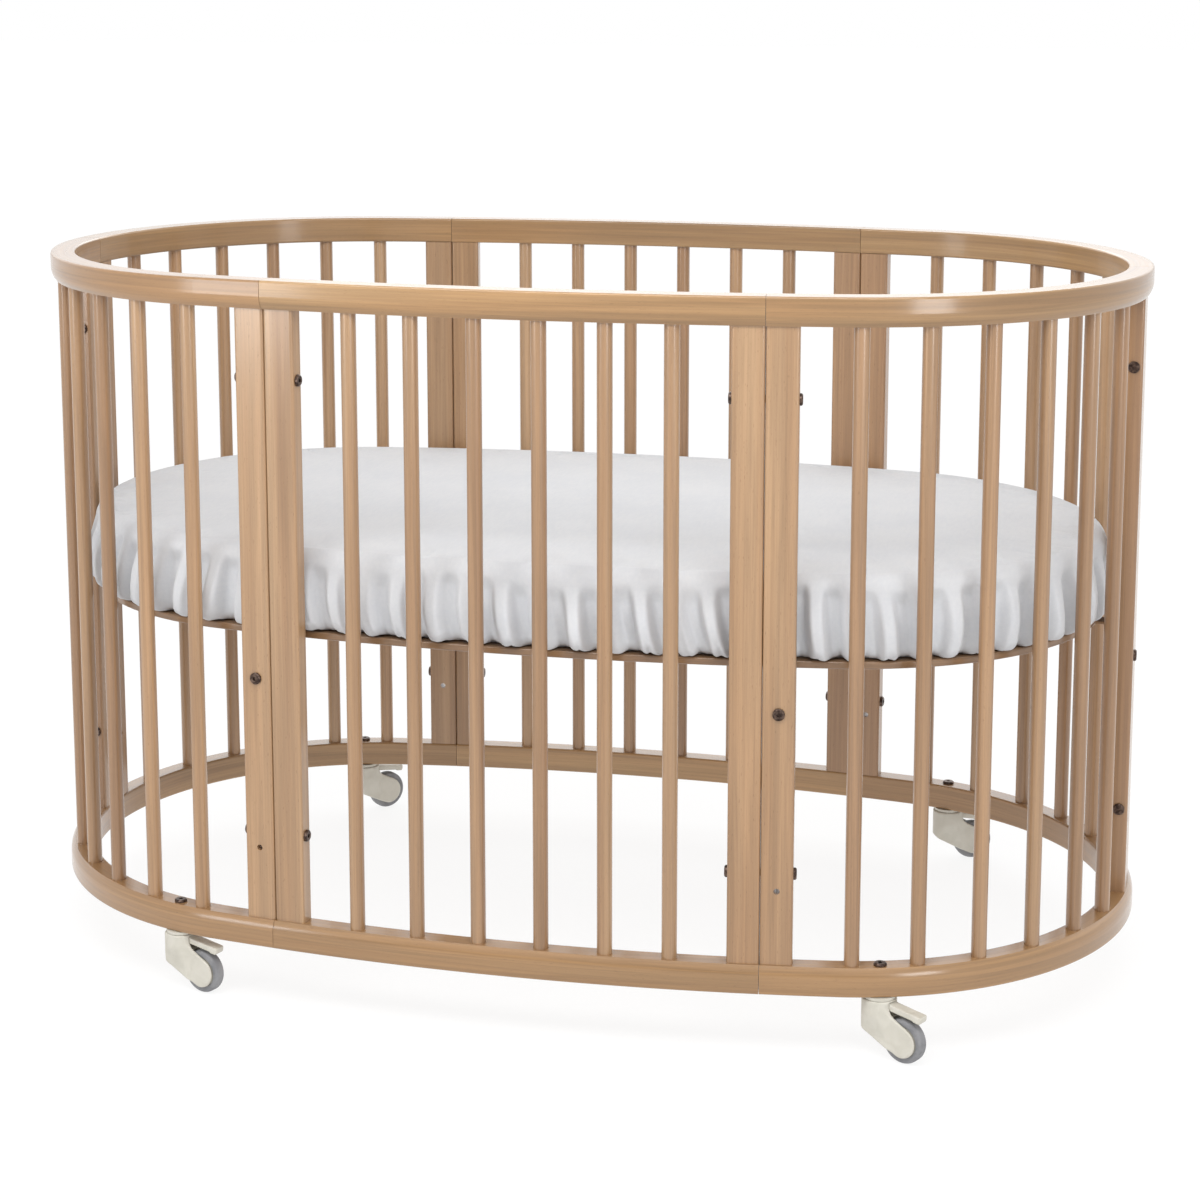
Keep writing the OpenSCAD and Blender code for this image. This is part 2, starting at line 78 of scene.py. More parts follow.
class Tree:
    """Short forms for building a node tree."""

    def __init__(self, tree):
        self.tree = tree

    def node(self, kind, **settings):
        made = self.tree.nodes.new("ShaderNode" + kind)
        for key, value in settings.items():
            setattr(made, key, value)
        return made

    def feed(self, socket, value):
        if isinstance(value, bpy.types.NodeSocket):
            self.tree.links.new(value, socket)
        elif value is not None:
            socket.default_value = value

    def math(self, operation, *values, clamp=False):
        made = self.node("Math", operation=operation, use_clamp=clamp)
        for socket, value in zip(made.inputs, values):
            self.feed(socket, value)
        return made.outputs[0]

    def combine(self, x, y, z):
        made = self.node("CombineXYZ")
        for socket, value in zip(made.inputs, (x, y, z)):
            self.feed(socket, value)
        return made.outputs[0]

    def separate(self, vector):
        made = self.node("SeparateXYZ")
        self.feed(made.inputs[0], vector)
        return made.outputs

    def scaled(self, vector, scale, offset=(0, 0, 0)):
        made = self.node("VectorMath", operation="MULTIPLY_ADD")
        self.feed(made.inputs[0], vector)
        made.inputs[1].default_value = scale
        made.inputs[2].default_value = offset
        return made.outputs[0]

    def offset(self, vector, amount):
        made = self.node("VectorMath", operation="ADD")
        self.feed(made.inputs[0], vector)
        self.feed(made.inputs[1], amount)
        return made.outputs[0]

    def noise(self, vector, detail=2.0, roughness=0.5, distortion=0.0, scale=1.0):
        made = self.node("TexNoise")
        self.feed(made.inputs["Vector"], vector)
        made.inputs["Scale"].default_value = scale
        made.inputs["Detail"].default_value = detail
        made.inputs["Roughness"].default_value = roughness
        made.inputs["Distortion"].default_value = distortion
        return made.outputs[0]

    def spread(self, value, low, high, to_low=0.0, to_high=1.0):
        made = self.node("MapRange", interpolation_type="SMOOTHSTEP")
        for socket, v in zip(made.inputs, (value, low, high, to_low, to_high)):
            self.feed(socket, v)
        return made.outputs[0]

    def mix(self, factor, a, b, blend="MIX"):
        made = self.node("Mix", data_type="RGBA", blend_type=blend)
        self.feed(made.inputs[0], factor)
        self.feed(made.inputs[6], a)
        self.feed(made.inputs[7], b)
        return made.outputs[2]

    def bump(self, height, strength, distance):
        made = self.node("Bump")
        made.inputs["Strength"].default_value = strength
        made.inputs["Distance"].default_value = distance
        self.feed(made.inputs["Height"], height)
        return made.outputs[0]


def start_material(name):
    """A new material: its tree, its shader and the object's own coordinates."""
    material = bpy.data.materials.new(name)
    material.use_nodes = True
    tree = Tree(material.node_tree)
    shader = material.node_tree.nodes["Principled BSDF"]
    place = tree.node("TexCoord").outputs["Object"]
    return material, tree, shader, place


def rgb(red, green, blue):
    """A colour given as sRGB bytes, as the linear colour that shaders take."""
    def linear(c):
        c /= 255
        return c / 12.92 if c <= 0.04045 else ((c + 0.055) / 1.055) ** 2.4
    return (linear(red), linear(green), linear(blue), 1.0)


def tinted(colour, factors):
    """A colour with its red, green and blue each scaled by a factor."""
    return tuple(c * k for c, k in zip(colour, factors)) + (1.0,)


# ---------------------------------------------------------------- wood


def oval_grain(tree, place):
    """Coordinates for wood whose grain follows the oval: across, up, along."""
    x, y, z = tree.separate(place)
    side = tree.math("SIGN", x)
    face = tree.math("SIGN", y)
    ax = tree.math("ABSOLUTE", x)
    ay = tree.math("ABSOLUTE", y)
    from_end = tree.math("SUBTRACT", ax, END_X)
    from_side = tree.math("ADD", ay, SIDE_Y)
    beyond = tree.math(
        "GREATER_THAN",
        tree.math("MULTIPLY", ax, SIDE_Y),
        tree.math("MULTIPLY", from_side, END_X),
    )
    end_turn = tree.math("ARCTAN2", from_end, ay)
    side_turn = tree.math("ARCTAN2", ax, from_side)
    past_join = tree.math("MULTIPLY", tree.math("SUBTRACT", end_turn, JOIN_TURN), END_RADIUS)
    end_along = tree.math("ADD", past_join, JOIN_TURN * SIDE_RADIUS)
    side_along = tree.math("MULTIPLY", side_turn, SIDE_RADIUS)
    end_out = tree.math("SQRT", tree.math("ADD", tree.math("POWER", from_end, 2.0),
                                          tree.math("POWER", ay, 2.0)))
    side_out = tree.math("SQRT", tree.math("ADD", tree.math("POWER", ax, 2.0),
                                           tree.math("POWER", from_side, 2.0)))
    side_out = tree.math("SUBTRACT", side_out, SIDE_RADIUS - END_RADIUS)
    near = tree.math("SUBTRACT", 1.0, beyond)
    along = tree.math("ADD", tree.math("MULTIPLY", end_along, beyond),
                      tree.math("MULTIPLY", side_along, near))
    out = tree.math("ADD", tree.math("MULTIPLY", end_out, beyond),
                    tree.math("MULTIPLY", side_out, near))
    along = tree.math("MULTIPLY", along, side)
    return tree.combine(tree.math("ADD", out, face), z, along)


def beech(name, light, dark, grain="upright", seed=0.0, flecks=0.3, piece_tone=0.08):
    """Natural beech under a clear satin lacquer: bands, rings, fine streaks and ray flecks."""
    material, tree, shader, place = start_material(name)
    own = tree.node("ObjectInfo").outputs["Random"]
    if grain == "oval":
        place = oval_grain(tree, place)
        chance = own
    else:
        if grain == "across":
            x, y, z = tree.separate(place)
            place = tree.combine(x, z, y)
        # One node holds several slats or boards, so their chance comes from where each one is
        chance = tree.spread(tree.noise(tree.scaled(place, (17, 17, 0))), 0.34, 0.66)
    shift = tree.math("MULTIPLY", own, 7.0)
    place = tree.offset(place, tree.combine(shift, shift, shift))
    offset = (seed, seed * 0.37, seed * 1.71)
    bands = tree.noise(tree.scaled(place, (38, 38, 1.1), offset), 3, 0.5, 0.5)
    rings = tree.noise(tree.scaled(place, (130, 130, 2.2), offset), 3, 0.5, 1.2)
    streaks = tree.noise(tree.scaled(place, (520, 520, 9), offset), 3, 0.6)
    rays = tree.noise(tree.scaled(place, (900, 900, 150), offset), 1, 0.5)
    pores = tree.noise(tree.scaled(place, (2600, 2600, 120), offset), 1, 0.5)
    clouds = tree.noise(tree.scaled(place, (8, 8, 2.0), offset), 2, 0.5)

    colour = tree.mix(tree.spread(bands, 0.30, 0.72), dark, light)
    warm = tinted(light, (1.0, 0.90, 0.80))
    rosy = tinted(light, (0.98, 0.86, 0.80))
    colour = tree.mix(tree.spread(clouds, 0.42, 0.75, 0.0, 0.5), colour, warm)
    colour = tree.mix(tree.spread(chance, 0.35, 1.0, 0.0, 0.50), colour, rosy)
    ring_tone = tree.spread(rings, 0.35, 0.65, 0.88, 1.05)
    streak_tone = tree.spread(streaks, 0.30, 0.70, 0.91, 1.05)
    pore_tone = tree.spread(pores, 0.55, 0.75, 1.0, 0.92)
    piece = tree.spread(chance, 0.0, 1.0, 1.0 + piece_tone * 0.6, 1.0 - piece_tone)
    tone = tree.math("MULTIPLY", tree.math("MULTIPLY", ring_tone, streak_tone),
                     tree.math("MULTIPLY", pore_tone, piece))
    colour = tree.mix(1.0, colour, tree.combine(tone, tone, tone), "MULTIPLY")
    ray_mask = tree.spread(rays, 0.68, 0.76, 0.0, flecks)
    colour = tree.mix(ray_mask, colour, tinted(dark, (0.52, 0.44, 0.38)))
    tree.feed(shader.inputs["Base Color"], colour)

    height = tree.math("ADD", tree.math("MULTIPLY", streaks, 0.6), tree.math("MULTIPLY", pores, -0.3))
    height = tree.math("SUBTRACT", height, tree.math("MULTIPLY", ray_mask, 0.4))
    tree.feed(shader.inputs["Normal"], tree.bump(height, 0.16, 0.0003))
    tree.feed(shader.inputs["Roughness"], tree.spread(streaks, 0.25, 0.75, 0.42, 0.56))
    shader.inputs["Specular IOR Level"].default_value = 0.42
    shader.inputs["Coat Weight"].default_value = 1.0
    shader.inputs["Coat Roughness"].default_value = 0.18
    return material


# ---------------------------------------------------------------- cloth, plastic, rubber, metal


def cotton(name, light, shade, pitch=0.0011):
    """Plain woven cotton: crossing threads, slubs and a soft nap."""
    material, tree, shader, place = start_material(name)
    x, y, z = tree.separate(place)
    around = tree.separate(oval_grain(tree, place))[2]
    up = tree.math("ABSOLUTE", tree.separate(tree.node("NewGeometry").outputs["Normal"])[2])
    flat = tree.spread(up, 0.55, 0.80)
    turn = 2 * math.pi / pitch

    def threads(a, b):
        warp = tree.math("SINE", tree.math("MULTIPLY", a, turn))
        weft = tree.math("SINE", tree.math("MULTIPLY", b, turn))
        return tree.math("MULTIPLY", warp, weft)

    top = threads(x, y)
    side = threads(around, z)
    weave = tree.math("ADD", tree.math("MULTIPLY", top, flat),
                      tree.math("MULTIPLY", side, tree.math("SUBTRACT", 1.0, flat)))
    slubs = tree.noise(tree.scaled(place, (260, 60, 260)), 3, 0.6)
    clouds = tree.noise(tree.scaled(place, (14, 14, 14)), 3, 0.5)
    nap = tree.noise(tree.scaled(place, (2200, 2200, 2200)), 2, 0.6)
    factor = tree.math("ADD", tree.math("MULTIPLY", weave, 0.10),
                       tree.math("ADD", tree.math("MULTIPLY", slubs, 0.45),
                                 tree.math("MULTIPLY", clouds, 0.45)))
    tree.feed(shader.inputs["Base Color"], tree.mix(tree.spread(factor, 0.25, 0.65), shade, light))
    height = tree.math("ADD", tree.math("MULTIPLY", weave, 0.35),
                       tree.math("ADD", tree.math("MULTIPLY", slubs, 0.5), tree.math("MULTIPLY", nap, 0.4)))
    tree.feed(shader.inputs["Normal"], tree.bump(height, 0.18, 0.0003))
    tree.feed(shader.inputs["Roughness"], tree.spread(nap, 0.3, 0.7, 0.82, 0.95))
    shader.inputs["Specular IOR Level"].default_value = 0.25
    shader.inputs["Sheen Weight"].default_value = 0.18
    shader.inputs["Sheen Roughness"].default_value = 0.5
    return material


def moulded(name, light, shade, rough=0.42, grain=900.0, depth=0.10, specular=0.5):
    """Moulded plastic or rubber: a fine spark texture, faint flow clouds and scuffs."""
    material, tree, shader, place = start_material(name)
    texture = tree.noise(tree.scaled(place, (grain,) * 3), 2, 0.6)
    clouds = tree.noise(tree.scaled(place, (55, 55, 55)), 3, 0.55, 0.5)
    scuffs = tree.noise(tree.scaled(place, (420, 420, 2400)), 3, 0.6, 0.4)
    worn = tree.spread(scuffs, 0.62, 0.74, 0.0, 0.35)
    colour = tree.mix(tree.spread(clouds, 0.3, 0.7), shade, light)
    colour = tree.mix(worn, colour, shade)
    tree.feed(shader.inputs["Base Color"], colour)
    height = tree.math("SUBTRACT", texture, tree.math("MULTIPLY", worn, 0.5))
    tree.feed(shader.inputs["Normal"], tree.bump(height, depth, 0.0003))
    tree.feed(shader.inputs["Roughness"], tree.spread(texture, 0.3, 0.7, rough, rough + 0.14))
    shader.inputs["Specular IOR Level"].default_value = specular
    return material


def metal(name, light, shade, rough=0.32, metallic=0.9):
    """Plated or brushed metal with fine scratches and darker patches."""
    material, tree, shader, place = start_material(name)
    patches = tree.noise(tree.scaled(place, (210, 210, 210)), 3, 0.6)
    scratches = tree.noise(tree.scaled(place, (1500, 5200, 1500)), 2, 0.6, 0.6)
    colour = tree.mix(tree.spread(patches, 0.35, 0.68), shade, light)
    tree.feed(shader.inputs["Base Color"], colour)
    tree.feed(shader.inputs["Normal"], tree.bump(scratches, 0.12, 0.0002))
    tree.feed(shader.inputs["Roughness"], tree.spread(scratches, 0.3, 0.7, rough, rough + 0.22))
    shader.inputs["Metallic"].default_value = metallic
    return material


BEECH_LIGHT = rgb(168, 135, 100)
BEECH_DARK = rgb(146, 111, 77)
RAIL_LIGHT = rgb(165, 130, 87)
RAIL_DARK = rgb(137, 104, 66)
# Painted shade: the rim's beech colours are darker than the rest of the wood. They stand for the shadow
# that the mattress's overhang casts on the rim.
SHADED_RIM_LIGHT = rgb(143, 111, 77)
SHADED_RIM_DARK = rgb(114, 85, 57)

MATERIALS = {
    "rail": beech("beech_rail", RAIL_LIGHT, RAIL_DARK, "oval", 3.0, 0.25, 0.10),
    "slat": beech("beech_slat", BEECH_LIGHT, BEECH_DARK, "upright", 11.0, 0.25, 0.14),
    "post": beech("beech_post", BEECH_LIGHT, BEECH_DARK, "upright", 23.0, 0.40, 0.08),
    # The base rim takes the darkened beech colours, which paint the shade under the mattress.
    "rim": beech("base_rim_wood_painted_shade", SHADED_RIM_LIGHT, SHADED_RIM_DARK, "oval", 41.0, 0.25, 0.0),
    "board": beech("base_board_wood", BEECH_LIGHT, BEECH_DARK, "across", 57.0, 0.4, 0.16),
    "bolt": metal("bronze_plated_steel", rgb(112, 94, 84), rgb(58, 46, 42), 0.22),
    "bracket": metal("bronze_coated_steel", rgb(140, 108, 78), rgb(112, 84, 60), 0.46, 0.4),
    "axle": metal("bright_steel", rgb(190, 190, 190), rgb(150, 150, 152), 0.25),
    "caster": moulded("caster_plastic", rgb(201, 197, 186), rgb(192, 188, 176), 0.42),
    "hub": moulded("hub_plastic", rgb(185, 181, 170), rgb(169, 165, 154), 0.42),
    "tyre": moulded("tyre_rubber", rgb(140, 140, 142), rgb(119, 119, 122), 0.58, 1400.0, 0.16, 0.35),
    "sheet": cotton("sheet_cotton", rgb(207, 208, 210), rgb(199, 201, 205)),
    "mattress": cotton("mattress_cover", rgb(240, 240, 238), rgb(226, 226, 224), 0.0022),
}


def material_of(node):
    """Which material a CAD node takes."""
    endings = (
        ("_rail", "rail"), ("_slats", "slat"), ("_post", "post"), ("_post_left", "post"),
        ("_post_right", "post"), ("base_rim", "rim"), ("base_boards", "board"),
        ("connector_bolts", "bolt"), ("connector_nuts", "bolt"), ("base_fasteners", "bolt"),
        ("caster_bolts", "bolt"), ("base_brackets", "bracket"), ("_caster_pins", "axle"),
        ("_wheel_hub", "hub"), ("_tyre", "tyre"), ("_brake_lever", "caster"),
        ("_caster_housing", "caster"), ("caster_collars", "caster"),
        ("mattress", "mattress"), ("fitted_sheet", "sheet"),
    )
    return next(MATERIALS[key] for ending, key in endings if node.endswith(ending))


def dress(piece, material):
    """Gives a piece one material."""
    piece.data.materials.clear()
    piece.data.materials.append(material)
    return piece


def smooth(piece):
    """Shades a piece's faces smoothly."""
    for polygon in piece.data.polygons:
        polygon.use_smooth = True
    return piece


def new_piece(name, mesh, material, body):
    """An object in one material that rides on a body."""
    piece = bpy.data.objects.new(name, mesh)
    bpy.context.scene.collection.objects.link(piece)
    dress(piece, material)
    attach(piece, body)
    return piece


for name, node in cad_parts.items():
    dress(node, material_of(name))


# ---------------------------------------------------------------- mattress and fitted sheet


def outline_at(turn, inset):
    """A point of the oval, inset from the rails' outer face, and its outward normal."""
    lean = abs(math.atan2(math.sin(turn), math.cos(turn)))
    lean = min(lean, math.pi - lean)
    normal = Vector((math.sin(turn), -math.cos(turn), 0))
    if lean < JOIN_TURN:
        centre = Vector((0, math.copysign(SIDE_Y, math.cos(turn)), 0))
        radius = SIDE_RADIUS
    else:
        centre = Vector((math.copysign(END_X, math.sin(turn)), 0, 0))
        radius = END_RADIUS
    return centre + normal * (radius - inset), normal


def outline_ring(count, inset):
    """Points and normals in equal steps round the oval, starting at the middle of the front."""
    fine = 7200
    turns = [2 * math.pi * i / fine for i in range(fine + 1)]
    points = [outline_at(t, inset)[0] for t in turns]
    steps = [(b - a).length for a, b in zip(points, points[1:])]
    along = np.concatenate([[0.0], np.cumsum(steps)])
    wanted = np.linspace(0, along[-1], count, endpoint=False)
    return [outline_at(t, inset) for t in np.interp(wanted, along, turns)]


# Radii of the pad's upper and lower edges
TOP_EDGE = 0.020
LOW_EDGE = 0.015


def shares(count):
    """Equal steps up to 1, without the 0 at their start."""
    return [k / count for k in range(1, count + 1)]


def pad_profile(top_rows, top, bottom, tuck, belly):
    """Rows of a pad from the middle of its top to its tucked edge, as (kind, reach, z).

    On the flat top, reach is the share of the way out from the middle. Below it, reach is how
    far the row lies outside the outline."""
    high = top - TOP_EDGE
    low = bottom + LOW_EDGE
    quarter = math.pi / 2
    rows = [("top", (k / top_rows)**0.8, top) for k in range(top_rows + 1)]
    for t in shares(9):
        out = TOP_EDGE * (math.sin(quarter * t) - 1)
        rows.append(("edge", out, high + TOP_EDGE * math.cos(quarter * t)))
    for t in shares(30):
        rows.append(("side", belly * math.sin(math.pi * t), high + (low - high) * t))
    for t in shares(7):
        out = LOW_EDGE * (math.cos(quarter * t) - 1)
        rows.append(("under", out, low - LOW_EDGE * math.sin(quarter * t)))
    for t in shares(6):
        rows.append(("tuck", -LOW_EDGE - tuck * t, bottom))
    return rows


def creased(value):
    """A round swell between narrow creases, once for each whole step of value."""
    return abs(math.sin(math.pi * value))**0.5


def eased(value):
    """Rises smoothly from 0 to 1 as value does."""
    t = min(1.0, max(0.0, value))
    return t * t * (3 - 2 * t)


# Gathers on the sheet's side: wide folds, finer pleats and small ruffles along the hem
FOLD_PITCH = 0.037
PUFF_OUT = 0.0105
POCKET_IN = 0.0085
PLEAT_DEPTH = 0.0011
HEM_PITCH = 0.0125
HEM_RUFFLE = 0.0036


def gather(along, down):
    """How far the gathered side of the sheet stands out, along the outline and down its side.

    Pockets open just under the top edge, and the puffs between them swell towards the hem."""
    sway = noise.noise(Vector((along * 5.0, down * 0.9, 3.1)))
    drift = noise.noise(Vector((along * 1.6, 0.3, 8.2)))
    lean = noise.noise(Vector((along * 2.4, 0.9, 5.5))) * down
    turns = along / FOLD_PITCH + 0.40 * sway + 0.5 * drift + 0.8 * lean
    strength = 0.92 + 0.40 * noise.noise(Vector((along * 7.0, 0.2, 1.4)))
    start = 0.12 + 0.14 * noise.noise(Vector((along * 11.0, 0.7, 6.6)))
    puff = eased((math.sin(math.pi * turns)**2 - 0.08) / 0.80)
    pocket = (1 - puff) * eased((down - start) / 0.24) * (1.05 - 0.30 * down)
    swell = puff * eased((down - start + 0.08) / 0.75)
    pleats = noise.noise(Vector((along * 55.0, down * 2.2, 2.7))) * eased((down - start) / 0.5)
    ruffle = creased(along / HEM_PITCH + 2.4 * sway + 3.0 * drift) - 0.66
    hem = max(0.0, (down - 0.70) / 0.30)**1.3
    wide = strength * (PUFF_OUT * swell - POCKET_IN * pocket)
    return wide + PLEAT_DEPTH * pleats + HEM_RUFFLE * ruffle * hem


MATTRESS_LOW, MATTRESS_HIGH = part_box("mattress")
PAD_INSET = HALF_LENGTH - MATTRESS_HIGH.x
PAD_TOP = MATTRESS_HIGH.z
PAD_BOTTOM = MATTRESS_LOW.z


def pad_mesh(name, ring, rows, lift, close_bottom):
    """Skins a ring of points for each row, where lift gives each point its final place."""
    bm = bmesh.new()
    rings = []
    for kind, reach, z in rows:
        made = []
        for number, (point, normal) in enumerate(ring):
            if kind == "top":
                middle = Vector((max(-END_X, min(END_X, point.x)), 0, 0))
                base = middle.lerp(point - normal * TOP_EDGE, reach)
            else:
                base = point + normal * reach
            place = lift(kind, reach, base, normal, z, number / len(ring))
            made.append(bm.verts.new(place))
        rings.append(made)
    count = len(ring)
    for upper, lower in zip(rings, rings[1:]):
        for i in range(count):
            j = (i + 1) % count
            bm.faces.new((upper[i], lower[i], lower[j], upper[j]))
    if close_bottom:
        bm.faces.new(rings[-1])
    bmesh.ops.remove_doubles(bm, verts=rings[0], dist=0.0015)
    bmesh.ops.dissolve_degenerate(bm, edges=bm.edges[:], dist=1e-6)
    bmesh.ops.recalc_face_normals(bm, faces=bm.faces[:])
    mesh = bpy.data.meshes.new(name)
    bm.to_mesh(mesh)
    bm.free()
    return mesh


# The cloth lies outside the mattress's CAD solid and over its top, and the foam inside it. Both
# end just above its underside
CLOTH_OUT = 0.0012
CLOTH_OVER = 0.0016
CLOTH_LOW = 0.0006
FOAM_IN = 0.0105
FOAM_DOWN = 0.004
FOAM_LOW = 0.0012

# Relief of the sheet's top, and of the quilted cover under it
CROWN = 0.0030
SWELL = 0.0024
RIPPLE = 0.0013
PULL = 0.0030
PULL_PITCH = 0.062
EDGE_DROP = 0.0022
SCALLOP = 0.0035
QUILT_DEPTH = 0.002
QUILT_TURNS = 42


def fitted_sheet():
    """White cotton stretched over the mattress: smooth on top, gathered towards its hem."""
    ring = outline_ring(1700, PAD_INSET - CLOTH_OUT)
    perimeter = sum((a[0] - b[0]).length for a, b in zip(ring, ring[1:] + ring[:1]))
    top = PAD_TOP + CLOTH_OVER
    bottom = PAD_BOTTOM + CLOTH_LOW
    rows = pad_profile(34, top, bottom, tuck=0.020, belly=0.0030)

    def lift(kind, reach, base, normal, z, around):
        down = (top - z) / (top - bottom)
        from_back = (around + 0.5) % 1.0
        along = from_back * perimeter
        # The folds fade out where the ring closes, at the middle of the back
        fade = min(1.0, min(from_back, 1 - from_back) * 60)
        if kind == "top":
            x, y = base.x, base.y
            wave = noise.noise(Vector((x * 12 + y * 5, y * 26, 4.2))) * (0.3 + 0.7 * reach)
            rise = CROWN * (1 - reach**2) - EDGE_DROP * reach**6 + RIPPLE * wave
            rise += SWELL * noise.noise(Vector((x * 4.5, y * 6, 1.7)))
            rise += PULL * (creased(along / PULL_PITCH + 1.5 * wave) - 0.7) * reach**5 * fade
            return Vector((x, y, z + rise))
        out = gather(along, down) * fade
        if kind == "tuck":
            return base + normal * (out * 0.3) + Vector((0, 0, z))
        scallop = 0.0
        if kind == "under":
            scallop = SCALLOP * (1 - creased(along / HEM_PITCH / 2 + 1.3)) * fade
        return base + normal * out + Vector((0, 0, z + scallop))

    mesh = pad_mesh("fitted_sheet_cloth", ring, rows, lift, False)
    piece = new_piece("fitted_sheet_cloth", mesh, MATERIALS["sheet"], "mattress")
    smooth(piece)
    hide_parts("fitted_sheet")
    return piece


def mattress_pad():
    """Foam mattress in a quilted cover, just inside its sheet."""
    ring = outline_ring(400, PAD_INSET + FOAM_IN)
    rows = pad_profile(24, PAD_TOP - FOAM_DOWN, PAD_BOTTOM + FOAM_LOW, tuck=0.010, belly=0.001)

    def lift(kind, reach, base, normal, z, around):
        if kind == "top":
            one_way = abs(math.sin((base.x + base.y) * QUILT_TURNS))
            other_way = abs(math.sin((base.x - base.y) * QUILT_TURNS))
            return Vector((base.x, base.y, z + QUILT_DEPTH * (1 - reach**2) * one_way * other_way))
        return base + Vector((0, 0, z))

    mesh = pad_mesh("mattress_pad", ring, rows, lift, True)
    piece = new_piece("mattress_pad", mesh, MATERIALS["mattress"], "mattress")
    smooth(piece)
    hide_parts("mattress")
    return piece


cloth = fitted_sheet()
pad = mattress_pad()


# ---------------------------------------------------------------- casters


def soft_min(a, b, blend):
    """The union of two fields, rounded where they meet."""
    h = np.clip(0.5 + 0.5 * (b - a) / blend, 0, 1)
    return b * (1 - h) + a * h - blend * h * (1 - h)


def soft_max(a, b, blend):
    """The overlap of two fields, rounded where they meet."""
    return -soft_min(-a, -b, blend)


def beyond_line(x, z, start, end):
    """Signed distance to the left of the line from start to end."""
    dx, dz = end[0] - start[0], end[1] - start[1]
    return ((z - start[1]) * dx - (x - start[0]) * dz) / math.hypot(dx, dz)


def housing_field(x, y, z):
    """Signed distance to the moulded housing: a round body that runs into two cheeks."""
    drum, fork, cheek, top = 18.5, 10.2, 17.0, 64.5
    slot_half, wheel_gap, bore = 7.1, 26.0, 4.4
    round_axle = np.hypot(x - AXLE[0], z - AXLE[1])
    low = beyond_line(x, z, (22.0, 10.1), (-drum, 31.0))
    high = beyond_line(x, z, (drum, 50.5), (39.6, 39.2))
    width = fork + (drum - fork) * np.clip((z - 25.0) / 24.0, 0, 1)
    body = soft_max(np.hypot(x, y) - drum, np.abs(y) - width, 3.0)
    body = soft_max(body, low, 3.0)
    ahead = (x - AXLE[0]) * 0.87 - (z - AXLE[1]) * 0.5
    arm = soft_max(np.maximum(low, high), np.minimum(ahead, round_axle - cheek), 1.0)
    arm = soft_max(arm, np.abs(y) - fork, 2.0)
    arm = soft_max(arm, -12.0 - x, 4.0)
    shell = soft_max(soft_min(body, arm, 7.0), z - top, 2.0)
    shell = soft_max(shell, low, 2.0)
    slot = np.abs(y) - slot_half
    wheel_room = np.maximum(slot, round_axle - wheel_gap)
    lever_room = np.maximum(np.maximum(slot, 9.0 - x), np.maximum(46.0 - z, z - 63.0))
    bolt_bore = np.maximum(np.hypot(x, y) - bore, 40.0 - z)
    hollow = np.minimum(np.minimum(wheel_room, lever_room), bolt_bore)
    return soft_max(shell, -hollow, 0.9)


def lever_field(x, y, z):
    """Signed distance to the brake lever: a thick foot plate with a down-turned tip."""
    slope = math.radians(8)
    half_length, half_thickness, half_width = 20.5, 3.5, 6.95
    boss, pin_bore = 4.2, 1.6
    along = (x - LEVER_PIN[0]) * math.cos(slope) - (z - LEVER_PIN[1]) * math.sin(slope)
    up = (x - LEVER_PIN[0]) * math.sin(slope) + (z - LEVER_PIN[1]) * math.cos(slope)
    dish = 0.9 * np.exp(-((along - 26) / 8)**2 - (y / 5)**2)
    from_pin = np.hypot(along, up)
    plate = soft_max(np.abs(along - half_length) - half_length, np.abs(up) - half_thickness, 2.2)
    plate = soft_max(plate, up - half_thickness + dish, 0.8)
    lip = soft_max(np.abs(along - 36) - 4.2, np.abs(up + 2.2) - 2.4, 1.6)
    whole = soft_min(soft_min(plate, lip, 1.5), from_pin - boss, 2.5)
    whole = soft_max(whole, np.abs(y) - half_width, 1.6)
    return np.maximum(whole, pin_bore - from_pin)


def net_mesh(name, field, low, high, step):
    """Skins the zero level of a field, sampled on a grid: one vertex in each cell it crosses."""
    axes = [np.arange(a, b + step, step) for a, b in zip(low, high)]
    grid = np.meshgrid(*axes, indexing="ij")
    value = field(*grid)
    inside = value < 0
    cells = [n - 1 for n in value.shape]
    total = np.zeros(cells + [3])
    crossings = np.zeros(cells)
    for axis in range(3):
        others = [a for a in range(3) if a != axis]
        for corner in ((0, 0), (0, 1), (1, 0), (1, 1)):
            start = [0, 0, 0]
            start[others[0]], start[others[1]] = corner
            end = list(start)
            end[axis] = 1
            first = tuple(slice(s, s + n) for s, n in zip(start, cells))
            last = tuple(slice(s, s + n) for s, n in zip(end, cells))
            a, b = value[first], value[last]
            crossed = inside[first] != inside[last]
            share = np.where(crossed, a / np.where(crossed, a - b, 1), 0)
            for k in range(3):
                place = start[k] + (share if k == axis else 0)
                total[..., k] += np.where(crossed, place, 0)
            crossings += crossed
    active = crossings > 0
    number = np.full(cells, -1)
    number[active] = np.arange(active.sum())
    where = np.argwhere(active) + total[active] / crossings[active][:, None]
    points = (np.array(low) + where * step) / 1000
    quads = []
    for axis in range(3):
        others = [a for a in range(3) if a != axis]
        first = tuple(slice(None, -1) if a == axis else slice(1, -1) for a in range(3))
        last = tuple(slice(1, None) if a == axis else slice(1, -1) for a in range(3))
        crossed = np.argwhere(inside[first] != inside[last])
        corners = []
        for du, dv in ((0, 0), (1, 0), (1, 1), (0, 1)):
            cell = crossed.copy()
            cell[:, others[0]] += du
            cell[:, others[1]] += dv
            corners.append(number[tuple(cell.T)])
        quads.append(np.stack(corners, axis=1))
    mesh = bpy.data.meshes.new(name)
    mesh.from_pydata(points.tolist(), [], np.concatenate(quads).tolist())
    bm = bmesh.new()
    bm.from_mesh(mesh)
    bmesh.ops.recalc_face_normals(bm, faces=bm.faces[:])
    bm.to_mesh(mesh)
    bm.free()
    return mesh


